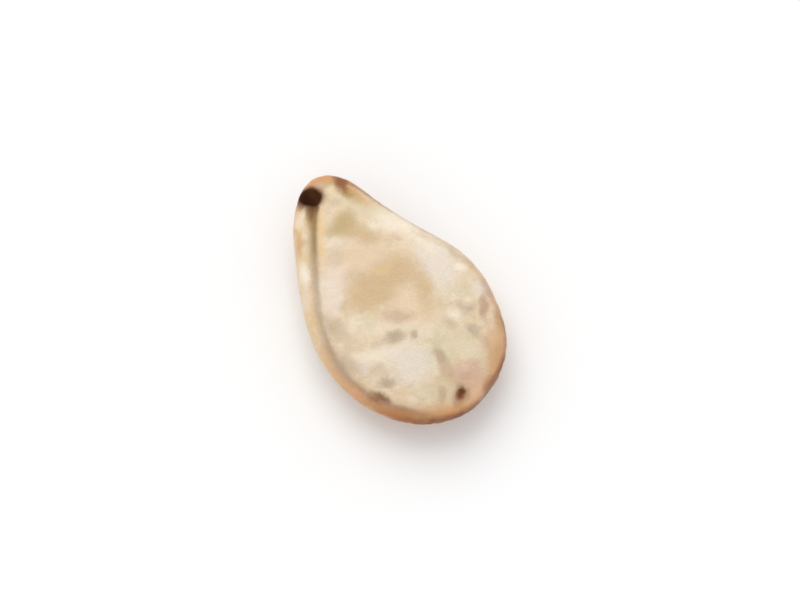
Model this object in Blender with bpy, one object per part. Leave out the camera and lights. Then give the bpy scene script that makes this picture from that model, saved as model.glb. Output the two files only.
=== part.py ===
"""A sesame seed, lying on its flatter face with its pointed end towards +Y.

The seed grew as one piece, so it is one closed body. It is modelled where it rests: +Z is up, the surface
under it is z = 0, and the origin is under the middle of the seed. A sphere is drawn out to the seed's
outline and section, and the relief of the coat is then raised and sunk from that smooth body: the groove
that follows the edge, the scar at the pointed end where the seed hung, the pit at the round end, and the
soft waves of the faces. Lengths are in millimetres until the mesh is finished.
"""

import math

import bmesh
import bpy
from mathutils import Matrix, Vector, noise

MM = 0.001

LENGTH = 3.10
THICKNESS = 0.90

# Half-widths that guide the outline, at every twelfth of the way round, clockwise from the pointed end.
HALF_WIDTHS = (0.67, 0.66, 0.53, 1.00, 1.05, 1.20, 1.09, 1.08, 1.10, 1.00, 0.80, 0.73)

# Exponents of the section: the larger, the flatter the face and the blunter the edge.
UPPER_FLATNESS = 3.0
LOWER_FLATNESS = 3.4

# The pointed end is thinner than the rest and lifts off the surface a little.
TIP_THINNING = 0.30
TIP_LIFT = 0.10

# The lowest part of the lower face is pressed flat by this much, so that the seed rests on a real spot.
REST_DEPTH = 0.020

# The groove along the edge: how far out it runs and how strong it is, at every twelfth of the way round.
GROOVE_REACH = (0.90, 0.93, 0.94, 0.94, 0.93, 0.95, 1.05, 0.905, 0.935, 0.885, 0.78, 0.76)
GROOVE_STRENGTH = (0.4, 0.1, 0.1, 0.1, 0.1, 0.1, 0.25, 0.8, 0.8, 0.8, 1.0, 1.0)
GROOVE_DEPTH = 0.034
GROOVE_WIDTH = 0.050
LIP_HEIGHT = 0.009
LIP_WIDTH = 0.060
LIP_OFFSET = 0.095

# Ovals seen from above are given by their middle x and y, half-length, half-width, and turn in degrees.
# The scar at the pointed end is a crater with a steep wall. Its border's place and width are in half-sizes.
SCAR = (-0.135, 1.36, 0.125, 0.098, -43)
SCAR_DEPTH = 0.045
SCAR_STEEPNESS = 6
SCAR_BORDER_HEIGHT = 0.014
SCAR_BORDER_PLACE = 1.25
SCAR_BORDER_WIDTH = 0.45

# Dents of the upper face, each an oval and its depth.
DENTS = (
    ((0.02, 0.00, 0.46, 0.38, 0), 0.022),
    ((0.02, -1.37, 0.078, 0.050, 52), 0.034),
    ((0.02, -1.03, 0.19, 0.050, 86), 0.016),
    ((-0.19, 1.20, 0.14, 0.070, 60), 0.016),
    ((-0.01, 0.80, 0.20, 0.16, 20), 0.010),
    ((0.58, -0.60, 0.12, 0.09, 35), 0.011),
    ((0.79, -0.73, 0.14, 0.05, 100), 0.010),
    ((-0.20, -0.56, 0.15, 0.07, 170), 0.010),
)

# Soft waves of the faces: height and the number of waves to the millimetre.
WAVES = ((0.013, 1.6), (0.006, 3.9))

# A fine furrow along the middle of the lower face, bowed a little.
FURROW_DEPTH = 0.012
FURROW_WIDTH = 0.050
FURROW_LENGTH = 1.10
FURROW_BEND = 0.08

# The marks of the upper face give way to those of the lower over this much height, across the edge.
CHANGE_OF_FACE = 0.20

# The sphere's columns and rings. The rings crowd to the groove, and one of them follows it up to a limit.
COLUMNS = 100
RINGS = 50
CROWDING = 0.45
CROWDED_CLIMB = 0.39
CROWDED_REACH = 0.86
FOLLOWED_REACH = 0.95
SMALL_TURN = 0.01

COAT_COLOUR = (0.80, 0.66, 0.45, 1.0)
COAT_ROUGHNESS = 0.50


def spline(values, turn):
    """The smooth closed curve guided by a ring of evenly spaced values, at an angle in radians."""
    place = turn / math.tau * len(values)
    first = math.floor(place)
    t = place - first
    weights = ((1 - t) ** 3, 3 * t**3 - 6 * t**2 + 4, -3 * t**3 + 3 * t**2 + 3 * t + 1, t**3)
    return sum(w * values[(first + k - 1) % len(values)] for k, w in enumerate(weights)) / 6


def hump(distance, width):
    """A soft hump, one high at no distance and fading over a width."""
    return math.exp(-((distance / width) ** 2))


def outline(turn):
    """The edge of the seed seen from above. A turn of 0 is the pointed end, and turns run clockwise."""
    return Vector((math.sin(turn) * spline(HALF_WIDTHS, turn), math.cos(turn) * LENGTH / 2))


def breadth(turn):
    """How far the edge lies from the middle, measured square to the edge."""
    along = (outline(turn + SMALL_TURN) - outline(turn - SMALL_TURN)).normalized()
    return abs(outline(turn).cross(along))


def place_of(direction):
    """Turn, reach and side of a point of the sphere. Reach is 0 in a face's middle and 1 at the edge."""
    turn = math.atan2(direction.x, direction.y) % math.tau
    side = 1 if direction.z > 0 else -1
    climb = math.asin(min(1.0, abs(direction.z))) / (math.pi / 2)
    shift = math.sin(math.tau * (climb - CROWDED_CLIMB)) + math.sin(math.tau * CROWDED_CLIMB)
    climb -= CROWDING / math.tau * shift
    even = math.cos(climb * math.pi / 2)
    if even < CROWDED_REACH:
        follow = (even / CROWDED_REACH) ** 3
    else:
        follow = (1 - even) / (1 - CROWDED_REACH)
    followed = min(FOLLOWED_REACH, spline(GROOVE_REACH, turn))
    return turn, even + follow * (followed - CROWDED_REACH), side


def smooth_body(turn, reach, side):
    """Where a place lies on the seed before its relief."""
    x, y = outline(turn) * reach
    forward = max(0.0, y / (LENGTH / 2)) ** 2
    flatness = UPPER_FLATNESS if side > 0 else LOWER_FLATNESS
    climb = math.sqrt(max(0.0, 1 - reach**flatness))
    z = side * climb * THICKNESS / 2 * (1 - TIP_THINNING * forward)
    return Vector((x, y, z + TIP_LIFT * forward))


def groove(turn, reach):
    """The groove along the edge, with the low lips on both sides of it."""
    across = (reach - spline(GROOVE_REACH, turn)) * breadth(turn)
    lips = hump(across - LIP_OFFSET, LIP_WIDTH) + hump(across + LIP_OFFSET, LIP_WIDTH)
    return spline(GROOVE_STRENGTH, turn) * (LIP_HEIGHT * lips - GROOVE_DEPTH * hump(across, GROOVE_WIDTH))


def spread(point, oval):
    """How far a point lies from an oval's middle, seen from above, where 1 is the oval's line."""
    x, y, half_length, half_width, turned = oval
    along, across = Matrix.Rotation(math.radians(-turned), 2) @ Vector((point.x - x, point.y - y))
    return math.hypot(along / half_length, across / half_width)


def scar(point):
    """The crater where the seed hung, and its border."""
    distance = spread(point, SCAR)
    floor = 1 / (1 + distance**SCAR_STEEPNESS)
    border = hump(distance - SCAR_BORDER_PLACE, SCAR_BORDER_WIDTH)
    return SCAR_BORDER_HEIGHT * border - SCAR_DEPTH * floor


def dents(point):
    """The hollows of the upper face, from the broad one in its middle to the pit at the round end."""
    return -sum(depth * hump(spread(point, oval), 1) for oval, depth in DENTS)


def waves(point):
    return sum(height * noise.noise(point * count) for height, count in WAVES)


def furrow(point):
    """The fine furrow of the lower face, fading towards both ends."""
    bowed = point.x - FURROW_BEND * math.cos(point.y)
    return -FURROW_DEPTH * hump(bowed, FURROW_WIDTH) * hump(point.y, FURROW_LENGTH)


def relief(point, turn, reach):
    """How far the coat stands proud of the smooth body, which is less than nothing in a hollow."""
    upper = min(1.0, max(0.0, 0.5 + point.z / CHANGE_OF_FACE))
    height = groove(turn, reach) + waves(point)
    return height + upper * (scar(point) + dents(point)) + (1 - upper) * furrow(point)


def seed_mesh():
    """The seed in metres, resting on z = 0."""
    mesh = bmesh.new()
    bmesh.ops.create_uvsphere(mesh, u_segments=COLUMNS, v_segments=RINGS, radius=1.0)
    places = [place_of(vert.co) for vert in mesh.verts]
    for vert, place in zip(mesh.verts, places):
        vert.co = smooth_body(*place)
    mesh.normal_update()
    for vert, (turn, reach, _) in zip(mesh.verts, places):
        vert.co += vert.normal * relief(vert.co, turn, reach)
    rest(mesh)
    return mesh


def rest(mesh):
    """Presses the lowest spot flat, and brings it to z = 0 with the middle of the seed over the origin."""
    floor = min(vert.co.z for vert in mesh.verts) + REST_DEPTH
    across = [vert.co.x for vert in mesh.verts]
    along = [vert.co.y for vert in mesh.verts]
    middle = Vector(((min(across) + max(across)) / 2, (min(along) + max(along)) / 2, floor))
    for vert in mesh.verts:
        vert.co.z = max(vert.co.z, floor)
        vert.co = (vert.co - middle) * MM


def coat_material():
    material = bpy.data.materials.new("seed_coat")
    material.use_nodes = True
    shader = material.node_tree.nodes["Principled BSDF"]
    shader.inputs["Base Color"].default_value = COAT_COLOUR
    shader.inputs["Roughness"].default_value = COAT_ROUGHNESS
    shader.inputs["Metallic"].default_value = 0.0
    return material


def main():
    for old in list(bpy.data.objects):
        bpy.data.objects.remove(old)
    built = seed_mesh()
    data = bpy.data.meshes.new("seed")
    built.to_mesh(data)
    built.free()
    data.shade_smooth()
    data.materials.append(coat_material())
    bpy.context.scene.collection.objects.link(bpy.data.objects.new("seed", data))


main()
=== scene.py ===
"""The looks of a sesame seed that lies on its flatter face, seen from above.

The seed's coat is modelled as one fine mesh over the plain solid: a cube rounded to a sphere, drawn out to
the seed's outline and section, with the groove along its edge, the scar at its pointed end, the pit at its
round end, and the small hollows, folds and pores of the coat. Its finish is mixed from the tones of the
coat: cream, tan and grey patches on the faces, a darker groove, an orange-brown rim and a dark scar. Some
of it is painted light: the grey spots on the dents and dimples and a sand tone in the fine hollows are
painted shade, a maroon line along the lower right edge is partly the rim's colour and partly painted
shade, and two small ivory spots are painted highlights.
Lengths are in millimetres until a mesh is finished.
"""

import logging
import math
from collections.abc import Iterable
from dataclasses import dataclass, field
from enum import Enum

import bmesh
import bpy
import numpy as np
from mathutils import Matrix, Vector, noise


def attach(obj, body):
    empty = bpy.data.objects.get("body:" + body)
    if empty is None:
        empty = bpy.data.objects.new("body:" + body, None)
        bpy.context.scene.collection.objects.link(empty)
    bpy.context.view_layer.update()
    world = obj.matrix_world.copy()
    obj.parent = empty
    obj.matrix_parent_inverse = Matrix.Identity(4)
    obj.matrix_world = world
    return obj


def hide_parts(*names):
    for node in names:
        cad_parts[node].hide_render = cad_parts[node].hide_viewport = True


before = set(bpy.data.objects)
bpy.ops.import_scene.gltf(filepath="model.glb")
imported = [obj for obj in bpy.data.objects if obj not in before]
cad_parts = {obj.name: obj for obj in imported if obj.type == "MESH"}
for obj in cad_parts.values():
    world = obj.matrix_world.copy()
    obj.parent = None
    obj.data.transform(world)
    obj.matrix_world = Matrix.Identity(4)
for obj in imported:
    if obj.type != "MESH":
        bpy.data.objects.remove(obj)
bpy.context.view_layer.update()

MM = 0.001
PHOTO_WIDTH, PHOTO_HEIGHT = 800, 600

# The inputs and the output of a Mix node of colours, whose names it uses more than once.
MIX_SHARE, MIX_FIRST, MIX_SECOND = 0, 6, 7
MIX_COLOUR = 2

log = logging.getLogger("sesame")

Array = np.ndarray
Colour = tuple[float, float, float]


class Tone(Enum):
    """The tones of the coat and of the studio, as a screen shows them, from 0 to 255."""

    CREAM = (229, 212, 187)
    IVORY = (240, 227, 206)
    CHALK = (227, 215, 201)
    ROSE = (232, 214, 197)
    PEACH = (227, 201, 171)
    SAND = (219, 196, 161)
    SAGE = (213, 201, 168)
    GOLD = (207, 179, 139)
    OLIVE = (190, 166, 118)
    STONE = (206, 187, 160)
    ASH = (184, 163, 138)
    LIP = (229, 198, 146)
    APRICOT = (208, 156, 102)
    CORAL = (224, 164, 124)
    BLUSH = (204, 156, 132)
    MAUVE = (168, 140, 134)
    MOSS = (150, 114, 54)
    BRONZE = (116, 78, 30)
    BARK = (148, 102, 66)
    RUST = (220, 150, 88)
    EMBER = (132, 76, 36)
    MAROON = (112, 54, 32)
    UMBER = (80, 46, 24)
    SOOT = (48, 24, 10)

    def linear(self) -> Colour:
        """The tone as light, which is what a shader takes."""
        return tuple(((c / 255 + 0.055) / 1.055) ** 2.4 for c in self.value)


class Side(Enum):
    """The two faces of the seed, with the exponent of the section: the larger, the flatter the face."""

    UPPER = 3.0
    LOWER = 3.4


def hump(distance: Array, width: float) -> Array:
    """A soft hump.

    Args:
        distance: how far each place is from the middle of the hump.
        width: the distance over which the hump fades.

    Returns:
        One in the middle of the hump, falling to nothing around it.
    """
    return np.exp(-((distance / width) ** 2))


def ramp(value: Array, low: float, high: float) -> Array:
    """A smooth step.

    Args:
        value: what is stepped.
        low: the value below which the step is 0.
        high: the value above which the step is 1.

    Returns:
        The step at each value.
    """
    t = np.clip((value - low) / (high - low), 0, 1)
    return t * t * (3 - 2 * t)


def swell(points: Array, count: float) -> Array:
    """Smooth irregular swells.

    Args:
        points: places in millimetres, one a row.
        count: the number of swells to the millimetre.

    Returns:
        The height of the swell at each place, from about -1 to 1.
    """
    return np.array([noise.noise(Vector(point)) for point in points * count])


@dataclass(frozen=True)
class Round:
    """Values that guide a smooth closed curve, spaced evenly round the seed, clockwise from its point."""

    values: tuple[float, ...]

    def at(self, turn: Array) -> Array:
        """The curve's height.

        Args:
            turn: angles round the seed, in radians.

        Returns:
            The height at each angle.
        """
        values = np.array(self.values)
        place = turn / math.tau * len(values)
        first = np.floor(place).astype(int)
        t = place - first
        weights = ((1 - t) ** 3, 3 * t**3 - 6 * t**2 + 4, -3 * t**3 + 3 * t**2 + 3 * t + 1, t**3)
        return sum(w * values[(first + k - 1) % len(values)] for k, w in enumerate(weights)) / 6


@dataclass(frozen=True)
class SmoothSeed:
    """The body of the seed before its relief.

    A place on it has a turn, clockwise from the pointed end, and a reach, which is 0 in the middle of a
    face and 1 at the edge.
    """

    length: float = 3.10
    thickness: float = 0.90
    half_widths: Round = Round((0.67, 0.66, 0.53, 1.00, 1.05, 1.20, 1.09, 1.08, 1.10, 1.00, 0.80, 0.73))
    tip_thinning: float = 0.30
    tip_lift: float = 0.10
    small_turn: float = 0.01

    def outline(self, turn: Array) -> Array:
        """The edge seen from above.

        Args:
            turn: angles round the seed, in radians.

        Returns:
            The x and y of the edge at each angle.
        """
        return np.stack([np.sin(turn) * self.half_widths.at(turn), np.cos(turn) * self.length / 2], -1)

    def breadth(self, turn: Array) -> Array:
        """How far the edge lies from the middle, measured square to the edge.

        Args:
            turn: angles round the seed, in radians.

        Returns:
            The distance at each angle.
        """
        edge = self.outline(turn)
        along = self.outline(turn + self.small_turn) - self.outline(turn - self.small_turn)
        crossed = edge[:, 0] * along[:, 1] - edge[:, 1] * along[:, 0]
        return np.abs(crossed) / np.linalg.norm(along, axis=1)

    def surface(self, turn: Array, reach: Array, upper: Array) -> Array:
        """Where places lie on the smooth body.

        Args:
            turn: angles round the seed, in radians.
            reach: from 0 in the middle of a face to 1 at the edge.
            upper: whether each place is on the upper face.

        Returns:
            The x, y and z of each place.
        """
        flat = self.outline(turn) * reach[:, None]
        forward = np.maximum(0, flat[:, 1] / (self.length / 2)) ** 2
        climb = np.sqrt(np.maximum(0, 1 - reach ** np.where(upper, Side.UPPER.value, Side.LOWER.value)))
        half = self.thickness / 2 * (1 - self.tip_thinning * forward)
        z = np.where(upper, climb, -climb) * half + self.tip_lift * forward
        return np.column_stack([flat, z])


@dataclass
class Places:
    """Where every vertex of the coat lies on the smooth body, as the parts of the relief read it."""

    turn: Array
    reach: Array
    above: Array
    breadth: Array
    point: Array
    change_of_face: float = 0.20
    upper: Array = field(init=False)
    round_edge: Array = field(init=False)

    def __post_init__(self) -> None:
        """Works out how far each place belongs to the upper face, and the reach carried on over the edge."""
        self.upper = np.clip(0.5 + self.point[:, 2] / self.change_of_face, 0, 1)
        self.round_edge = np.where(self.above, self.reach, 2 - self.reach)


@dataclass(frozen=True)
class Oval:
    """An oval seen from above: its middle, its half-sizes, and its turn in degrees."""

    x: float
    y: float
    half_length: float
    half_width: float
    turned: float

    def spread(self, places: Places) -> Array:
        """How far each place lies from the oval's middle.

        Args:
            places: where the vertices are.

        Returns:
            The distances, where 1 is the oval's line.
        """
        cos, sin = math.cos(math.radians(self.turned)), math.sin(math.radians(self.turned))
        dx, dy = places.point[:, 0] - self.x, places.point[:, 1] - self.y
        return np.hypot((cos * dx + sin * dy) / self.half_length, (cos * dy - sin * dx) / self.half_width)


@dataclass(frozen=True)
class Groove:
    """The groove that follows the edge on both faces, with a low lip on each side of it."""

    reach: Round = Round((0.90, 0.93, 0.94, 0.94, 0.93, 0.95, 1.05, 0.925, 0.955, 0.895, 0.79, 0.785))
    strength: Round = Round((0.4, 0.1, 0.1, 0.1, 0.1, 0.1, 0.25, 0.8, 0.8, 0.8, 1.0, 1.0))
    depth: float = 0.034
    width: float = 0.050
    lip_height: float = 0.009
    lip_width: float = 0.060
    lip_offset: float = 0.095

    def across(self, places: Places) -> Array:
        """How far outside the groove each place lies.

        Args:
            places: where the vertices are.

        Returns:
            The distances, less than nothing inside the groove.
        """
        return (places.reach - self.reach.at(places.turn)) * places.breadth

    def height(self, places: Places) -> Array:
        """What the groove adds to the coat.

        Args:
            places: where the vertices are.

        Returns:
            The heights.
        """
        across = self.across(places)
        lips = hump(across - self.lip_offset, self.lip_width) + hump(across + self.lip_offset, self.lip_width)
        profile = self.lip_height * lips - self.depth * hump(across, self.width)
        return self.strength.at(places.turn) * profile


@dataclass(frozen=True)
class Scar:
    """The crater at the pointed end, where the seed hung, with a swollen border and a rough floor.

    Towards the seed's edge it runs out level by its end reach, so that it doesn't notch the outline. Its
    dark stain is a little larger than the crater.
    """

    oval: Oval = Oval(-0.155, 1.375, 0.125, 0.098, -43)
    stained: Oval = Oval(-0.150, 1.364, 0.138, 0.112, -45)
    depth: float = 0.045
    steepness: int = 6
    border_height: float = 0.014
    border_place: float = 1.25
    border_width: float = 0.45
    end_reach: float = 0.965
    run_out: float = 0.080
    roughness: float = 0.010
    rough_count: float = 16.0

    def stain(self, places: Places) -> Array:
        """How dark the scar makes each place, a little past its wall.

        Args:
            places: where the vertices are.

        Returns:
            One on the floor, and nothing far outside the wall.
        """
        return places.upper / (1 + self.stained.spread(places) ** self.steepness)

    def floor(self, places: Places) -> Array:
        """How far each place lies on the crater's floor.

        Args:
            places: where the vertices are.

        Returns:
            One on the floor, and nothing outside the wall.
        """
        return places.upper / (1 + self.oval.spread(places) ** self.steepness)

    def height(self, places: Places) -> Array:
        """What the scar adds to the coat.

        Args:
            places: where the vertices are.

        Returns:
            The heights.
        """
        border = hump(self.oval.spread(places) - self.border_place, self.border_width)
        rough = self.roughness * swell(places.point, self.rough_count)
        inside = ramp(-places.reach, -self.end_reach, self.run_out - self.end_reach)
        raised = self.border_height * border * places.upper
        return inside * (raised + self.floor(places) * (rough - self.depth))


@dataclass(frozen=True)
class Dent:
    """One soft hollow of the upper face."""

    oval: Oval
    depth: float

    def height(self, places: Places) -> Array:
        """What the hollow adds to the coat.

        Args:
            places: where the vertices are.

        Returns:
            The heights, all below nothing.
        """
        return -self.depth * places.upper * hump(self.oval.spread(places), 1)


@dataclass(frozen=True)
class Furrow:
    """The fine furrow along the middle of the lower face, bowed a little."""

    depth: float = 0.012
    width: float = 0.050
    length: float = 1.10
    bend: float = 0.08

    def height(self, places: Places) -> Array:
        """What the furrow adds to the coat.

        Args:
            places: where the vertices are.

        Returns:
            The heights.
        """
        bowed = places.point[:, 0] - self.bend * np.cos(places.point[:, 1])
        furrow = hump(bowed, self.width) * hump(places.point[:, 1], self.length)
        return -self.depth * (1 - places.upper) * furrow


@dataclass(frozen=True)
class Waves:
    """The soft waves of the faces: pairs of a height and a number of waves to the millimetre."""

    sizes: tuple[tuple[float, float], ...] = ((0.013, 1.6), (0.006, 3.9))

    def height(self, places: Places) -> Array:
        """What the waves add to the coat.

        Args:
            places: where the vertices are.

        Returns:
            The heights.
        """
        return sum(height * swell(places.point, count) for height, count in self.sizes)


@dataclass(frozen=True)
class Creases:
    """Fine folds of the coat: sharp valleys between low pillows, deeper towards the round end.

    Their sizes are pairs of a depth and a number of folds to the millimetre.
    """

    sizes: tuple[tuple[float, float], ...] = ((0.0055, 5.5), (0.0030, 12.0))
    sharpness: float = 0.28
    noise_shift: float = 31.7
    least_share: float = 0.7
    added_share: float = 0.5
    deepens_from: float = 0.4
    deepest_at: float = -1.0

    def height(self, places: Places) -> Array:
        """What the folds add to the coat.

        Args:
            places: where the vertices are.

        Returns:
            The heights, all below nothing.
        """
        deepening = ramp(-places.point[:, 1], -self.deepens_from, -self.deepest_at)
        deeper = self.least_share + self.added_share * deepening
        total = np.zeros(len(places.point))
        for depth, count in self.sizes:
            valley = np.abs(swell(places.point + self.noise_shift, count))
            total -= depth * hump(valley, self.sharpness)
        return deeper * total


@dataclass(frozen=True)
class Pores:
    """Small pits scattered over both faces, kept off the edge and the scar."""

    number: int = 150
    smallest: float = 0.016
    largest: float = 0.045
    depth_share: float = 0.17
    furthest_reach: float = 0.88
    draw: int = 20

    def height(self, places: Places, body: SmoothSeed) -> Array:
        """What the pits add to the coat.

        Args:
            places: where the vertices are.
            body: the smooth seed on which the pits are scattered.

        Returns:
            The heights, all below nothing.
        """
        rng = np.random.default_rng(self.draw)
        turn = rng.uniform(0, math.tau, self.number)
        reach = self.furthest_reach * np.sqrt(rng.uniform(0, 1, self.number))
        radius = self.smallest + (self.largest - self.smallest) * rng.uniform(0, 1, self.number) ** 2
        middles = body.surface(turn, reach, rng.uniform(0, 1, self.number) < 0.5)
        total = np.zeros(len(places.point))
        for middle, size in zip(middles, radius):
            total -= self.depth_share * size * hump(np.linalg.norm(places.point - middle, axis=1), size)
        return total


@dataclass(frozen=True)
class Edge:
    """A band along the seed's edge in one tone, laid over those before it.

    Its strength changes going round. The four places are reaches, carried on past 1 over the edge and down
    the lower face: where it starts, where it is full, where it starts to fade and where it has gone.
    """

    name: str
    tone: Tone
    strength: Round
    places: tuple[float, float, float, float]
    least: float = 0.7

    def share(self, places: Places) -> Array:
        """How far each place belongs to the band.

        Args:
            places: where the vertices are.

        Returns:
            The share, from 0 to 1.
        """
        starts, full, fades, gone = self.places
        band = ramp(places.round_edge, starts, full) * (1 - ramp(places.round_edge, fades, gone))
        return np.clip(self.strength.at(places.turn), 0, 1) * band


@dataclass
class SeedCoat:
    """The seed's coat as a fine closed mesh that stands for the plain solid.

    The plain solid has its groove, scar and dents to within 0.04 mm. Only the coat has the dimples.
    """

    name: str = "sesame_coat"
    node: str = "seed"
    slot: str = "seed_coat"
    cells: int = 128
    rest_depth: float = 0.020
    body: SmoothSeed = SmoothSeed()
    groove: Groove = Groove()
    scar: Scar = Scar()
    furrow: Furrow = Furrow()
    waves: Waves = Waves()
    creases: Creases = Creases()
    pores: Pores = Pores()
    groove_tone_width: float = 0.047
    deep_hollow: float = 0.008
    dents: tuple[Dent, ...] = (
        Dent(Oval(0.02, 0.00, 0.46, 0.38, 0), 0.022),
        Dent(Oval(0.01, -1.37, 0.072, 0.046, 50), 0.034),
        Dent(Oval(0.02, -1.03, 0.19, 0.050, 86), 0.016),
        Dent(Oval(-0.19, 1.20, 0.14, 0.070, 60), 0.016),
        Dent(Oval(-0.01, 0.80, 0.20, 0.16, 20), 0.010),
        Dent(Oval(0.58, -0.60, 0.12, 0.09, 35), 0.011),
        Dent(Oval(0.79, -0.73, 0.14, 0.05, 100), 0.010),
        Dent(Oval(-0.20, -0.56, 0.15, 0.07, 170), 0.010),
    )
    dimples: tuple[Dent, ...] = (
        Dent(Oval(-0.23, -0.50, 0.09, 0.05, 160), 0.009),
        Dent(Oval(-0.08, -0.59, 0.04, 0.05, 147), 0.007),
        Dent(Oval(-0.59, -0.86, 0.09, 0.05, 147), 0.009),
        Dent(Oval(-0.83, -0.45, 0.13, 0.08, 117), 0.007),
        Dent(Oval(-0.66, -0.22, 0.11, 0.07, 107), 0.006),
        Dent(Oval(0.52, -0.88, 0.08, 0.055, 107), 0.008),
        Dent(Oval(0.35, -0.69, 0.08, 0.06, 147), 0.006),
        Dent(Oval(0.04, 1.13, 0.07, 0.06, 147), 0.007),
        Dent(Oval(-0.15, -1.28, 0.08, 0.045, 57), 0.008),
        Dent(Oval(-0.28, 0.60, 0.10, 0.09, 147), 0.005),
        Dent(Oval(-0.10, -0.33, 0.16, 0.07, 147), 0.006),
    )
    edges: tuple[Edge, ...] = (
        Edge(
            "tan_band",
            Tone.LIP,
            Round((0.3, 0.0, 0.0, 0.0, 0.0, 0.0, 0.0, 0.5, 0.6, 0.6, 0.7, 0.8)),
            (0.820, 0.930, 1.02, 1.12),
            0.5,
        ),
        Edge(
            "mauve_line",
            Tone.MAUVE,
            Round((0.0, 0.4, 1.2, 0.0, 0.3, 0.0, 0.0, 0.0, 0.0, 0.0, 0.0, 0.0)),
            (0.920, 0.965, 1.05, 1.15),
            0.8,
        ),
        Edge(
            "amber_band",
            Tone.APRICOT,
            Round((0.0, 0.0, 0.0, 0.0, 0.7, 0.7, 0.4, 0.1, 0.0, 0.0, 0.0, 0.0)),
            (0.840, 0.960, 1.05, 1.15),
        ),
        Edge(
            "rust_rim",
            Tone.RUST,
            Round((0.75, 0.95, 0.1, 0.0, 0.20, 0.45, 0.85, 1.2, 0.65, 0.05, 0.0, 0.35)),
            (0.905, 0.970, 1.10, 1.25),
        ),
        # Partly the darker colour of the rim and partly painted shade: a maroon line along the lower right
        # edge, which faces away from the key light.
        Edge(
            "dark_edge_and_shade",
            Tone.MAROON,
            Round((0.0, 0.0, 0.0, 0.0, 0.0, 1.0, 1.4, 0.8, 0.0, 0.0, 0.0, 0.0)),
            (0.955, 0.995, 1.04, 1.15),
        ),
        Edge(
            "tip_line",
            Tone.BARK,
            Round((0.1, 1.1, 0.1, 0.0, 0.0, 0.0, 0.0, 0.0, 0.0, 0.0, 0.0, 0.1)),
            (0.860, 0.960, 1.05, 1.15),
        ),
    )

    def sphere(self) -> bpy.types.Mesh:
        """A sphere of even squares, from a cube whose sides are divided and rounded.

        Returns:
            The mesh, one unit in radius.
        """
        ball = bmesh.new()
        bmesh.ops.create_cube(ball, size=2.0)
        bmesh.ops.subdivide_edges(ball, edges=ball.edges[:], cuts=self.cells - 1, use_grid_fill=True)
        for vert in ball.verts:
            vert.co = Vector([math.tan(side * math.pi / 4) for side in vert.co]).normalized()
        mesh = bpy.data.meshes.new(self.name)
        ball.to_mesh(mesh)
        ball.free()
        return mesh

    def build(self) -> bpy.types.Object:
        """Models the coat.

        Returns:
            The coat's object, at the origin, with its place in its mesh.
        """
        mesh = self.sphere()
        direction = self.read(mesh, "co")
        turn = np.arctan2(direction[:, 0], direction[:, 1]) % math.tau
        reach = np.hypot(direction[:, 0], direction[:, 1])
        above = direction[:, 2] > 0
        point = self.body.surface(turn, reach, above)
        mesh.vertices.foreach_set("co", point.ravel())
        mesh.update()
        places = Places(turn, reach, above, self.body.breadth(turn), point)
        fine = self.creases.height(places) + self.pores.height(places, self.body)
        broad = self.relief(places)
        point = point + self.read(mesh, "normal") * (broad + fine)[:, None]
        mesh.vertices.foreach_set("co", self.rested(point).ravel())
        mesh.update()
        mesh.shade_smooth()
        self.mark(mesh, places, fine)
        coat = bpy.data.objects.new(self.name, mesh)
        bpy.context.scene.collection.objects.link(coat)
        return coat

    def read(self, mesh: bpy.types.Mesh, what: str) -> Array:
        """Reads a vector of every vertex.

        Args:
            mesh: the mesh.
            what: the vertices' property, such as co.

        Returns:
            The vectors, one a row.
        """
        values = np.empty(len(mesh.vertices) * 3, np.float32)
        mesh.vertices.foreach_get(what, values)
        return values.reshape(-1, 3).astype(float)

    def relief(self, places: Places) -> Array:
        """The relief that the plain solid has too, and the dimples.

        Args:
            places: where the vertices are.

        Returns:
            How far each vertex stands proud of the smooth body.
        """
        parts = (self.groove, self.scar, self.furrow, self.waves, *self.dents, *self.dimples)
        return sum(part.height(places) for part in parts)

    def rested(self, point: Array) -> Array:
        """Presses the lowest spot flat and puts the seed where it rests.

        Args:
            point: the places of the vertices, in millimetres.

        Returns:
            The places in metres, with the resting spot at z = 0 and the seed's middle over the origin.
        """
        floor = point[:, 2].min() + self.rest_depth
        middle = (point.min(0) + point.max(0)) / 2
        pressed = np.column_stack([point[:, :2], np.maximum(point[:, 2], floor)])
        return (pressed - [middle[0], middle[1], floor]) * MM

    def mark(self, mesh: bpy.types.Mesh, places: Places, fine: Array) -> None:
        """Stores on the mesh where the groove, the rim, the scar and the fine hollows are, for the finish.

        Args:
            mesh: the coat's mesh.
            places: where the vertices are.
            fine: the height of the fine relief at each vertex.
        """
        across = self.groove.across(places)
        strength = self.groove.strength.at(places.turn)
        marks = {
            "groove": strength * hump(across, self.groove_tone_width),
            "inner_lip": strength * hump(across + self.groove.lip_offset, self.groove.lip_width),
            "scar": self.scar.stain(places),
            "hollow": np.clip(-fine / self.deep_hollow, 0, 1),
            "upper": places.upper,
            **{edge.name: edge.share(places) for edge in self.edges},
        }
        for name, values in marks.items():
            mesh.attributes.new(name, "FLOAT", "POINT").data.foreach_set("value", values.astype(np.float32))


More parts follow.
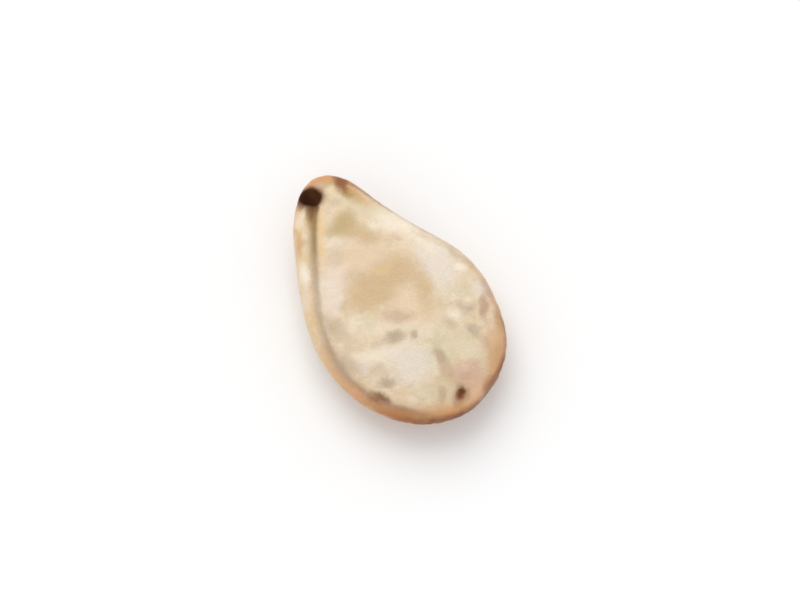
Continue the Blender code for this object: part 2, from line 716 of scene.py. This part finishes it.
class Wire:
    """A number that varies over a surface, as a socket of a node tree. Arithmetic on it adds Math nodes."""

    def __init__(self, bench: "Bench", socket: bpy.types.NodeSocket) -> None:
        """Wraps a socket.

        Args:
            bench: where the socket's tree is built.
            socket: the output that holds the number.
        """
        self.bench = bench
        self.socket = socket

    def math(self, operation: str, *values: "Wire | float") -> "Wire":
        """Adds a Math node.

        Args:
            operation: the node's operation.
            values: what it works on, in order.

        Returns:
            The result.
        """
        return self.bench.node("ShaderNodeMath", {"operation": operation}, dict(enumerate(values)))

    def __add__(self, other: "Wire | float") -> "Wire":
        """The sum."""
        return self.math("ADD", self, other)

    def __radd__(self, other: float) -> "Wire":
        """The sum, with the number first."""
        return self.math("ADD", other, self)

    def __sub__(self, other: "Wire | float") -> "Wire":
        """The difference."""
        return self.math("SUBTRACT", self, other)

    def __rsub__(self, other: float) -> "Wire":
        """The difference, with the number first."""
        return self.math("SUBTRACT", other, self)

    def __mul__(self, other: "Wire | float") -> "Wire":
        """The product."""
        return self.math("MULTIPLY", self, other)

    def __rmul__(self, other: float) -> "Wire":
        """The product, with the number first."""
        return self.math("MULTIPLY", other, self)


class Bench:
    """Where the node tree of one material is put together."""

    def __init__(self, name: str) -> None:
        """Starts a material.

        Args:
            name: the material's name.
        """
        self.material = bpy.data.materials.new(name)
        self.material.use_nodes = True
        self.tree = self.material.node_tree
        self.shader = self.tree.nodes["Principled BSDF"]

    def node(
        self,
        kind: str,
        settings: dict[str, object] | None = None,
        sockets: dict[str | int, object] | None = None,
        output: str | int = 0,
    ) -> Wire:
        """Adds a node.

        Args:
            kind: the node's type.
            settings: the node's own settings, which are set first.
            sockets: values or links of its inputs, by name or number.
            output: the output to hand on.

        Returns:
            The output.
        """
        made = self.tree.nodes.new(kind)
        for name, value in (settings or {}).items():
            setattr(made, name, value)
        for name, value in (sockets or {}).items():
            self.put(made.inputs[name], value)
        return Wire(self, made.outputs[output])

    def put(self, socket: bpy.types.NodeSocket, value: object) -> None:
        """Sets or links an input.

        Args:
            socket: the input.
            value: a value, or the wire to link.
        """
        if isinstance(value, Wire):
            self.tree.links.new(value.socket, socket)
        elif isinstance(value, Tone):
            socket.default_value = (*value.linear(), 1.0)
        else:
            socket.default_value = value

    def cover(self, share: Wire, finish: Wire) -> None:
        """Lays a second finish over the material's own.

        Args:
            share: how much of the second finish covers the first.
            finish: the second finish.
        """
        first = Wire(self, self.shader.outputs[0])
        mixed = self.node("ShaderNodeMixShader", None, {0: share, 1: first, 2: finish})
        self.put(self.tree.nodes["Material Output"].inputs["Surface"], mixed)

    def mix(self, share: Wire | float, first: "Wire | Tone", second: "Wire | Tone") -> Wire:
        """Mixes two colours.

        Args:
            share: how much of the second colour there is.
            first: the first colour.
            second: the second colour.

        Returns:
            The mixed colour.
        """
        settings = {"data_type": "RGBA", "blend_type": "MIX", "clamp_factor": True}
        sockets = {MIX_SHARE: share, MIX_FIRST: first, MIX_SECOND: second}
        return self.node("ShaderNodeMix", settings, sockets, MIX_COLOUR)

    def step(self, value: Wire, low: float, high: float) -> Wire:
        """A smooth step from 0 to 1.

        Args:
            value: what is stepped.
            low: the value where the step starts.
            high: the value where it ends.

        Returns:
            The step.
        """
        sockets = {"Value": value, "From Min": low, "From Max": high}
        settings = {"interpolation_type": "SMOOTHSTEP", "clamp": False}
        return self.node("ShaderNodeMapRange", settings, sockets)

    def speckle(self, place: Wire, count: float, detail: float = 2.0, rough: float = 0.5) -> Wire:
        """Soft noise.

        Args:
            place: the place in millimetres.
            count: the number of specks to the millimetre.
            detail: how many finer octaves are added.
            rough: how strong the finer octaves are.

        Returns:
            The noise, from about 0 to 1.
        """
        sockets = {"Vector": place, "Scale": count, "Detail": detail, "Roughness": rough}
        return self.node("ShaderNodeTexNoise", None, sockets, "Fac")

    def mark(self, name: str) -> Wire:
        """Reads what is stored on the mesh.

        Args:
            name: the attribute's name.

        Returns:
            Its value.
        """
        return self.node("ShaderNodeAttribute", {"attribute_name": name}, None, "Fac")

    def vector(self, operation: str, sockets: dict[str | int, object]) -> Wire:
        """Adds a Vector Math node.

        Args:
            operation: the node's operation.
            sockets: values or links of its inputs, by name or number.

        Returns:
            The result.
        """
        return self.node("ShaderNodeVectorMath", {"operation": operation}, sockets)

    def millimetres(self) -> Wire:
        """The place on the piece, in millimetres.

        Returns:
            The place.
        """
        place = self.node("ShaderNodeTexCoord", None, None, "Object")
        return self.vector("SCALE", {"Vector": place, "Scale": 1.0 / MM})

    def uneven(self, place: Wire, count: float, size: float) -> Wire:
        """Moves a place about by noise, so that what reads it has an uneven edge.

        Args:
            place: the place in millimetres.
            count: the number of swells to the millimetre.
            size: how far the place moves, in millimetres.

        Returns:
            The moved place.
        """
        sockets = {"Vector": place, "Scale": count, "Detail": 3.0, "Roughness": 0.6}
        cloud = self.node("ShaderNodeTexNoise", None, sockets, "Color")
        centred = self.vector("SUBTRACT", {0: cloud, 1: (0.5, 0.5, 0.5)})
        shift = self.vector("SCALE", {"Vector": centred, "Scale": size})
        return self.vector("ADD", {0: place, 1: shift})

    def part(self, place: Wire, axis: int) -> Wire:
        """One part of a place.

        Args:
            place: the place.
            axis: 0 for x, which is across the seed, and 1 for y, which is along it.

        Returns:
            The part.
        """
        return self.node("ShaderNodeSeparateXYZ", None, {0: place}, axis)


@dataclass(frozen=True)
class Patch:
    """A soft patch of one tone on the upper face."""

    tone: Tone
    x: float
    y: float
    half_length: float
    half_width: float
    turned: float
    strength: float
    softness: float = 1.4

    def share(self, bench: Bench, place: Wire) -> Wire:
        """How much of the patch shows.

        Args:
            bench: where the material is built.
            place: the place in millimetres, unsettled by noise so that the patch has an uneven edge.

        Returns:
            The share, from 0 to 1.
        """
        ends, full = 1 + self.softness / 2, 1 - self.softness / 2
        sockets = {
            "Vector": place,
            "Location": (self.x, self.y, 0.0),
            "Rotation": (0.0, 0.0, math.radians(self.turned)),
            "Scale": (self.half_length * ends, self.half_width * ends, 1.0),
        }
        local = bench.node("ShaderNodeMapping", {"vector_type": "TEXTURE"}, sockets)
        settings = {"gradient_type": "SPHERICAL"}
        inside = bench.node("ShaderNodeTexGradient", settings, {"Vector": local}, "Fac")
        return self.strength * bench.step(inside, 0.0, 1 - full / ends)


@dataclass(frozen=True)
class Mottle:
    """A cloudy tone of the coat, which shows where its noise climbs from one level to another.

    Where it is moved, that is by swells of a number to the millimetre and of a size in millimetres.
    """

    tone: Tone
    strength: float
    count: float
    detail: float
    levels: tuple[float, float]
    moved: tuple[float, float] | None = None

    def share(self, bench: Bench, place: Wire) -> Wire:
        """How much of the tone shows.

        Args:
            bench: where the material is built.
            place: the place in millimetres.

        Returns:
            The share.
        """
        spot = bench.uneven(place, *self.moved) if self.moved else place
        return self.strength * bench.step(bench.speckle(spot, self.count, self.detail, 0.6), *self.levels)


@dataclass(frozen=True)
class CoatFinish:
    """The finish of the seed's coat: mottled, softly glossy, a little translucent."""

    edges: tuple[Edge, ...]
    name: str = "seed_coat"
    mottles: tuple[Mottle, ...] = (
        Mottle(Tone.PEACH, 0.6, 2.4, 4.0, (0.42, 0.58)),
        Mottle(Tone.IVORY, 0.75, 4.0, 3.0, (0.50, 0.62), (3.0, 0.2)),
        Mottle(Tone.STONE, 0.65, 5.5, 3.0, (0.53, 0.64), (5.0, 0.1)),
    )
    grain: Mottle = Mottle(Tone.GOLD, 0.12, 26.0, 2.0, (0.30, 0.75))
    # How strongly the SAND tone paints shade into the fine hollows of the creases and pores.
    crease_shade_share: float = 0.45
    dullness: float = 0.40
    dull_clouds: float = 0.18
    dull_hollow: float = 0.12
    net_height: float = 0.0020
    grain_height: float = 0.0022
    # The small grey ASH and STONE spots that sit on a dent or a dimple are painted shade in those hollows;
    # each is marked below.
    patches: tuple[Patch, ...] = (
        Patch(Tone.CHALK, 0.58, -0.05, 0.30, 0.24, 60, 0.80),
        Patch(Tone.SAGE, 0.22, -0.90, 0.38, 0.22, 147, 0.55),
        Patch(Tone.SAND, 0.04, -0.28, 0.38, 0.12, 147, 0.55),
        Patch(Tone.CREAM, -0.20, -0.42, 0.45, 0.09, 147, 0.75),
        Patch(Tone.SAND, -0.15, -1.19, 0.20, 0.12, 147, 0.50),
        Patch(Tone.ROSE, -0.46, 0.37, 0.26, 0.13, 50, 0.85),
        Patch(Tone.PEACH, 0.00, 0.39, 0.34, 0.17, 147, 0.75),
        Patch(Tone.SAGE, 0.26, 0.88, 0.26, 0.09, 137, 0.60),
        Patch(Tone.IVORY, 0.48, 0.60, 0.22, 0.12, 117, 0.85),
        Patch(Tone.OLIVE, 0.02, 0.87, 0.13, 0.10, 57, 0.80),
        Patch(Tone.OLIVE, -0.04, 0.79, 0.18, 0.11, 147, 0.85),
        Patch(Tone.GOLD, 0.10, 0.64, 0.20, 0.09, 132, 0.85),
        Patch(Tone.IVORY, -0.16, 0.73, 0.17, 0.06, 147, 0.35),
        Patch(Tone.SAND, -0.03, 0.50, 0.24, 0.10, 147, 0.40),
        # Painted shade: a grey spot in a dimple.
        Patch(Tone.STONE, -0.28, 0.60, 0.10, 0.09, 147, 0.55),
        Patch(Tone.GOLD, -0.15, 0.10, 0.25, 0.19, 147, 0.95),
        Patch(Tone.GOLD, 0.10, 0.08, 0.20, 0.20, 0, 0.90),
        Patch(Tone.LIP, 0.07, 0.18, 0.14, 0.06, 147, 0.45),
        Patch(Tone.GOLD, -0.34, 0.02, 0.17, 0.14, 147, 0.85),
        Patch(Tone.GOLD, 0.28, 0.10, 0.15, 0.14, 147, 0.85),
        Patch(Tone.GOLD, 0.30, -0.22, 0.24, 0.10, 62, 0.90),
        # Painted shade: a grey spot in a dimple.
        Patch(Tone.ASH, -0.10, -0.32, 0.16, 0.07, 147, 0.45),
        Patch(Tone.BLUSH, -0.06, -0.36, 0.14, 0.07, 147, 0.30),
        Patch(Tone.PEACH, 0.10, -0.24, 0.15, 0.13, 147, 0.85),
        Patch(Tone.SAGE, -0.37, -0.21, 0.09, 0.06, 60, 0.60),
        Patch(Tone.ASH, -0.70, -0.02, 0.16, 0.08, 107, 0.50),
        # Painted shade: a grey spot in a dimple.
        Patch(Tone.STONE, -0.66, -0.22, 0.11, 0.07, 107, 0.60),
        Patch(Tone.STONE, -0.34, -0.50, 0.17, 0.08, 167, 0.60),
        Patch(Tone.IVORY, -0.48, -0.57, 0.27, 0.09, 157, 0.75),
        Patch(Tone.CHALK, -0.25, -0.81, 0.22, 0.19, 147, 0.85),
        # Painted shade: grey spots in a dent and in dimples, on this line and the next.
        Patch(Tone.ASH, -0.245, -0.50, 0.10, 0.05, 160, 0.75),
        Patch(Tone.ASH, -0.075, -0.60, 0.035, 0.05, 147, 0.80),
        Patch(Tone.STONE, -0.64, -0.67, 0.12, 0.10, 147, 0.50),
        Patch(Tone.ROSE, -0.71, -0.56, 0.06, 0.06, 0, 0.70),
        # Painted shade: grey spots in dimples, on this line and the next.
        Patch(Tone.ASH, -0.59, -0.86, 0.09, 0.05, 147, 0.85),
        Patch(Tone.ASH, -0.83, -0.45, 0.13, 0.08, 117, 0.55),
        Patch(Tone.PEACH, -0.59, -1.03, 0.13, 0.06, 147, 0.70),
        Patch(Tone.IVORY, 0.63, 0.20, 0.15, 0.06, 109, 0.65),
        Patch(Tone.OLIVE, 0.85, -0.03, 0.22, 0.05, 108, 0.45),
        # Painted highlight: a small bright ivory spot.
        Patch(Tone.IVORY, 0.78, -0.20, 0.06, 0.05, 147, 0.95),
        Patch(Tone.SAGE, 0.63, -0.43, 0.15, 0.07, 147, 0.70),
        Patch(Tone.CHALK, 0.84, -0.49, 0.09, 0.09, 147, 0.60),
        # Painted shade: a grey spot in a dent.
        Patch(Tone.ASH, 0.77, -0.71, 0.14, 0.05, 57, 0.90),
        Patch(Tone.BLUSH, 0.77, -0.72, 0.13, 0.05, 57, 0.35),
        # Painted shade: a grey spot in a dent.
        Patch(Tone.ASH, 0.59, -0.64, 0.08, 0.055, 147, 0.60),
        Patch(Tone.IVORY, 0.46, -0.61, 0.09, 0.05, 147, 0.60),
        Patch(Tone.MAUVE, 0.92, -0.52, 0.12, 0.035, 85, 0.40),
        Patch(Tone.PEACH, 0.82, -0.80, 0.12, 0.04, 72, 0.50),
        Patch(Tone.MOSS, 0.85, -0.90, 0.14, 0.045, 72, 0.45),
        # Painted shade: grey spots in dimples, on this line and the next.
        Patch(Tone.ASH, 0.35, -0.69, 0.08, 0.06, 147, 0.45),
        Patch(Tone.ASH, 0.52, -0.88, 0.08, 0.055, 107, 0.75),
        Patch(Tone.STONE, 0.56, -1.01, 0.12, 0.05, 97, 0.75),
        Patch(Tone.CREAM, 0.34, -1.05, 0.11, 0.11, 147, 0.55),
        Patch(Tone.APRICOT, 0.62, -1.12, 0.22, 0.10, 57, 0.55),
        # Painted shade: a grey spot in the long dent at the round end.
        Patch(Tone.ASH, 0.045, -1.04, 0.20, 0.065, 87, 0.50),
        Patch(Tone.GOLD, 0.03, -1.07, 0.18, 0.065, 87, 0.45),
        # Painted shade: a grey spot in the long dent at the round end.
        Patch(Tone.ASH, 0.06, -0.94, 0.08, 0.05, 87, 0.55),
        Patch(Tone.BLUSH, 0.22, -1.24, 0.20, 0.12, 147, 0.52),
        Patch(Tone.CORAL, 0.20, -1.43, 0.13, 0.07, 7, 0.40),
        Patch(Tone.PEACH, 0.20, -1.43, 0.13, 0.07, 7, 0.45),
        Patch(Tone.SAND, -0.07, -1.27, 0.14, 0.05, 57, 0.50),
        # Painted shade: a grey spot in a dimple, with an olive core on the next line.
        Patch(Tone.ASH, -0.15, -1.28, 0.080, 0.045, 57, 0.70),
        Patch(Tone.OLIVE, -0.15, -1.28, 0.06, 0.035, 57, 0.40),
        Patch(Tone.SAGE, -0.27, -1.20, 0.14, 0.10, 147, 0.45),
        Patch(Tone.BLUSH, 0.17, -1.25, 0.06, 0.04, 147, 0.45),
        Patch(Tone.APRICOT, -0.28, -1.36, 0.20, 0.06, 157, 0.40),
        Patch(Tone.BARK, 0.03, -1.37, 0.11, 0.07, 50, 0.60),
        Patch(Tone.EMBER, 0.04, -1.355, 0.062, 0.040, 52, 1.00, 1.1),
        Patch(Tone.UMBER, 0.05, -1.35, 0.040, 0.025, 52, 0.60),
        Patch(Tone.EMBER, -0.71, -0.95, 0.11, 0.038, 122, 0.85),
        Patch(Tone.BARK, 0.33, -1.46, 0.12, 0.05, 24, 0.60),
        Patch(Tone.APRICOT, 0.33, 1.03, 0.14, 0.06, 112, 0.50),
        Patch(Tone.OLIVE, 0.24, 1.14, 0.16, 0.08, 109, 0.90),
        Patch(Tone.MOSS, 0.23, 1.19, 0.09, 0.05, 109, 0.50),
        Patch(Tone.APRICOT, 0.29, 1.21, 0.16, 0.05, 109, 0.70),
        Patch(Tone.SAND, 0.00, 1.14, 0.16, 0.14, 147, 0.45),
        # Painted shade: a grey spot in a dimple.
        Patch(Tone.STONE, 0.05, 1.13, 0.07, 0.05, 147, 0.90),
        Patch(Tone.MOSS, -0.21, 1.18, 0.17, 0.065, 60, 0.60),
        Patch(Tone.BRONZE, -0.17, 1.25, 0.13, 0.065, 55, 0.85),
        Patch(Tone.UMBER, -0.148, 1.368, 0.170, 0.135, 147, 0.80, 0.9),
        Patch(Tone.CORAL, -0.14, 1.48, 0.14, 0.06, 22, 0.70),
        Patch(Tone.BLUSH, 0.02, 1.40, 0.07, 0.05, 57, 0.50),
        Patch(Tone.APRICOT, 0.16, 1.44, 0.18, 0.06, 150, 0.75),
        Patch(Tone.EMBER, 0.250, 1.325, 0.13, 0.060, 66, 0.90),
        Patch(Tone.APRICOT, -0.53, 0.96, 0.11, 0.06, 57, 0.70),
        Patch(Tone.APRICOT, -0.45, 1.10, 0.07, 0.05, 57, 0.20),
        Patch(Tone.IVORY, -0.36, 1.20, 0.10, 0.05, 57, 0.60),
        # Painted highlight: a bright ivory streak along the lip on the left side.
        Patch(Tone.IVORY, -0.66, 0.66, 0.13, 0.06, 65, 1.00),
        Patch(Tone.ROSE, -0.79, 0.42, 0.12, 0.06, 65, 0.60),
        Patch(Tone.ROSE, -0.60, 0.17, 0.12, 0.08, 57, 0.60),
        Patch(Tone.CORAL, -0.90, -0.74, 0.11, 0.05, 112, 0.55),
    )

    def build(self) -> bpy.types.Material:
        """Makes the material.

        Returns:
            The material.
        """
        bench = Bench(self.name)
        place = bench.millimetres()
        height = self.fine_height(bench, place)
        bench.put(bench.shader.inputs["Base Color"], self.colour(bench, place))
        bench.put(bench.shader.inputs["Roughness"], self.roughness(bench, place))
        bump = {"Strength": 1.0, "Distance": MM, "Height": height}
        relief = bench.node("ShaderNodeBump", None, bump)
        bench.put(bench.shader.inputs["Normal"], relief)
        constants = {
            "IOR": 1.45,
            "Specular IOR Level": 0.25,
            "Subsurface Weight": 0.22,
            "Subsurface Radius": (1.0, 0.55, 0.28),
            "Subsurface Scale": 0.045 * MM,
            "Coat Weight": 0.10,
            "Coat Roughness": 0.28,
        }
        for name, value in constants.items():
            bench.put(bench.shader.inputs[name], value)
        bench.cover(*self.scar(bench, place, relief))
        return bench.material

    def colour(self, bench: Bench, place: Wire) -> Wire:
        """The coat's colour.

        Args:
            bench: where the material is built.
            place: the place in millimetres.

        Returns:
            The colour.
        """
        colour = Tone.CREAM
        for mottle in self.mottles:
            colour = bench.mix(mottle.share(bench, place), colour, mottle.tone)
        # Painted shade: the SAND tone darkens the fine hollows of the creases and pores.
        colour = bench.mix(self.crease_shade_share * bench.mark("hollow"), colour, Tone.SAND)
        colour = bench.mix(self.grain.share(bench, place), colour, self.grain.tone)
        colour = self.with_edge(bench, place, colour)
        colour = self.with_groove(bench, place, colour)
        return self.with_patches(bench, place, colour)

    def with_patches(self, bench: Bench, place: Wire, colour: Wire) -> Wire:
        """Lays the patches of the upper face over a colour.

        Args:
            bench: where the material is built.
            place: the place in millimetres.
            colour: the colour under them.

        Returns:
            The colour with the patches.
        """
        moved = bench.uneven(bench.uneven(place, 3.0, 0.16), 9.0, 0.07)
        flat = bench.node("ShaderNodeMapping", None, {"Vector": moved, "Scale": (1.0, 1.0, 0.0)})
        patched = colour
        for patch in self.patches:
            patched = bench.mix(patch.share(bench, flat), patched, patch.tone)
        return bench.mix(bench.mark("upper"), colour, patched)

    def with_edge(self, bench: Bench, place: Wire, colour: Wire) -> Wire:
        """Lays the bands along the edge and the groove's inner lip over a colour.

        Args:
            bench: where the material is built.
            place: the place in millimetres.
            colour: the colour under them.

        Returns:
            The colour with the edge.
        """
        patchy = bench.step(bench.speckle(place, 4.5, 3.0, 0.6), 0.35, 0.65)
        along = bench.part(place, 1)
        colour = bench.mix(0.95 * bench.mark("inner_lip") * bench.step(along, 0.45, 0.85), colour, Tone.LIP)
        for edge in self.edges:
            share = bench.mark(edge.name) * (edge.least + (1 - edge.least) * patchy)
            colour = bench.mix(share, colour, edge.tone)
        return colour

    def with_groove(self, bench: Bench, place: Wire, colour: Wire) -> Wire:
        """Darkens the groove: olive towards the pointed end, and brown towards the round end.

        Args:
            bench: where the material is built.
            place: the place in millimetres.
            colour: the colour under it.

        Returns:
            The colour with the groove.
        """
        along = bench.part(place, 1)
        groove = bench.mark("groove")
        colour = bench.mix(groove * (0.50 - 0.20 * bench.step(along, -0.6, -1.0)), colour, Tone.ASH)
        colour = bench.mix(0.80 * groove * bench.step(along, 0.40, 0.95), colour, Tone.MOSS)
        browner = 0.30 * bench.step(along, 0.75, 0.45) + 0.20 * bench.step(along, 0.15, -0.3)
        browner = browner + 0.25 * bench.step(along, -0.6, -1.0)
        return bench.mix(groove * browner, colour, Tone.BARK)

    def scar(self, bench: Bench, place: Wire, relief: Wire) -> tuple[Wire, Wire]:
        """The scar's own dull and dark finish.

        Args:
            bench: where the material is built.
            place: the place in millimetres.
            relief: the fine relief, as a normal.

        Returns:
            How much of the finish covers the coat, and the finish.
        """
        ragged = bench.speckle(place, 11.0, 3.0, 0.6) - 0.5
        floor = bench.mark("scar") + 0.25 * ragged
        across = bench.part(place, 0)
        darker = bench.step(floor, 0.30, 0.90) * (1.0 - 0.65 * bench.step(across, -0.18, -0.06))
        colour = bench.mix(darker, Tone.UMBER, Tone.SOOT)
        sockets = {"Base Color": colour, "Roughness": 0.75, "Specular IOR Level": 0.05, "Normal": relief}
        return bench.step(floor, 0.04, 0.85), bench.node("ShaderNodeBsdfPrincipled", None, sockets)

    def roughness(self, bench: Bench, place: Wire) -> Wire:
        """How dull the coat is.

        Args:
            bench: where the material is built.
            place: the place in millimetres.

        Returns:
            The roughness.
        """
        uneven = self.dullness + self.dull_clouds * bench.speckle(place, 7.0, 3.0)
        return uneven + self.dull_hollow * bench.mark("hollow")

    def fine_height(self, bench: Bench, place: Wire) -> Wire:
        """The net of tiny cells and the grain of the coat, too fine for the mesh.

        Args:
            bench: where the material is built.
            place: the place in millimetres.

        Returns:
            The height in millimetres.
        """
        sockets = {"Vector": bench.uneven(place, 8.0, 0.05), "Scale": 22.0}
        cells = bench.node("ShaderNodeTexVoronoi", {"feature": "DISTANCE_TO_EDGE"}, sockets, "Distance")
        net = bench.step(cells, 0.0, 0.16)
        grain = bench.speckle(place, 38.0, 3.0, 0.6)
        return self.net_height * net + self.grain_height * grain


@dataclass(frozen=True)
class Studio:
    """The pale floor, the soft light and the camera, in millimetres but for the camera's reach in metres."""

    floor_half: float = 400.0
    world_strength: float = 0.84
    key_distance: float = 300.0
    key_size: float = 260.0
    key_power: float = 0.33
    key_heading: float = 15.0
    key_elevation: float = 56.0
    camera_distance: float = 48.0
    heading: float = 33.2
    elevation: float = 75.0
    pixels_to_millimetre: float = 92.0
    middle_px: tuple[float, float] = (388.25, 297.5)
    middle_height: float = 0.44
    sensor: float = 36.0
    view_reach: float = 10.0
    floor_grey: tuple[float, float, float, float] = (0.93, 0.93, 0.93, 1.0)
    floor_dullness: float = 0.75
    floor_unevenness: float = 0.1

    def floor(self) -> bpy.types.Object:
        """Lays the floor.

        Returns:
            The floor's object.
        """
        sheet = bmesh.new()
        bmesh.ops.create_grid(sheet, x_segments=1, y_segments=1, size=self.floor_half * MM)
        mesh = bpy.data.meshes.new("floor")
        sheet.to_mesh(mesh)
        sheet.free()
        bench = Bench("pale_floor")
        place = bench.millimetres()
        dullness = self.floor_dullness + self.floor_unevenness * bench.speckle(place, 0.4)
        bench.put(bench.shader.inputs["Base Color"], self.floor_grey)
        bench.put(bench.shader.inputs["Roughness"], dullness)
        mesh.materials.append(bench.material)
        floor = bpy.data.objects.new("floor", mesh)
        bpy.context.scene.collection.objects.link(floor)
        return floor

    def aim(self, thing: bpy.types.Object, target: Vector) -> None:
        """Turns a light or the camera towards a point.

        Args:
            thing: what is turned.
            target: the point.
        """
        thing.rotation_euler = (target - thing.location).to_track_quat("-Z", "Y").to_euler()

    def light(self) -> None:
        """Lights the scene with an even sky and one large soft light."""
        world = bpy.data.worlds.new("studio")
        world.use_nodes = True
        world.node_tree.nodes["Background"].inputs["Color"].default_value = (1.0, 1.0, 1.0, 1.0)
        world.node_tree.nodes["Background"].inputs["Strength"].default_value = self.world_strength
        bpy.context.scene.world = world
        lamp = bpy.data.lights.new("key", "AREA")
        lamp.shape = "DISK"
        lamp.size = self.key_size * MM
        lamp.energy = self.key_power
        key = bpy.data.objects.new("key", lamp)
        heading, climb = math.radians(self.key_heading), math.radians(self.key_elevation)
        level = self.key_distance * MM * math.cos(climb)
        height = self.key_distance * MM * math.sin(climb)
        key.location = (level * math.sin(heading), level * math.cos(heading), height)
        bpy.context.scene.collection.objects.link(key)
        self.aim(key, Vector((0, 0, 0)))

    def camera(self) -> None:
        """Sets the camera at the photograph's angle, so that the seed has its place and size in the frame."""
        heading, climb = math.radians(self.heading), math.radians(self.elevation)
        right = Vector((math.cos(heading), -math.sin(heading), 0))
        back = Vector(
            (-math.sin(heading) * math.cos(climb), -math.cos(heading) * math.cos(climb), math.sin(climb))
        )
        up = back.cross(right)
        across = (PHOTO_WIDTH / 2 - self.middle_px[0]) / self.pixels_to_millimetre
        down = (PHOTO_HEIGHT / 2 - self.middle_px[1]) / self.pixels_to_millimetre
        target = (Vector((0, 0, self.middle_height)) + right * across - up * down) * MM
        data = bpy.data.cameras.new("camera")
        data.sensor_width = self.sensor
        data.lens = self.pixels_to_millimetre * self.sensor / PHOTO_WIDTH * self.camera_distance
        data.clip_start = self.camera_distance * MM / 10
        data.clip_end = self.view_reach
        camera = bpy.data.objects.new("camera", data)
        camera.location = target + back * self.camera_distance * MM
        bpy.context.scene.collection.objects.link(camera)
        self.aim(camera, target)
        bpy.context.scene.camera = camera

    def build(self) -> bpy.types.Object:
        """Makes the studio.

        Returns:
            The floor.
        """
        bpy.context.scene.view_settings.view_transform = "Standard"
        self.light()
        self.camera()
        return self.floor()


def main() -> None:
    """Builds the studio and the seed."""
    logging.basicConfig(level=logging.INFO, format="%(name)s: %(message)s")
    Studio().build()
    coat = SeedCoat()
    piece = coat.build()
    piece.data.materials.append(CoatFinish(coat.edges).build())
    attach(piece, "root")
    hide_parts(coat.node)
    log.info("%s has %d faces", piece.name, len(piece.data.polygons))


if __name__ == "__main__":
    main()
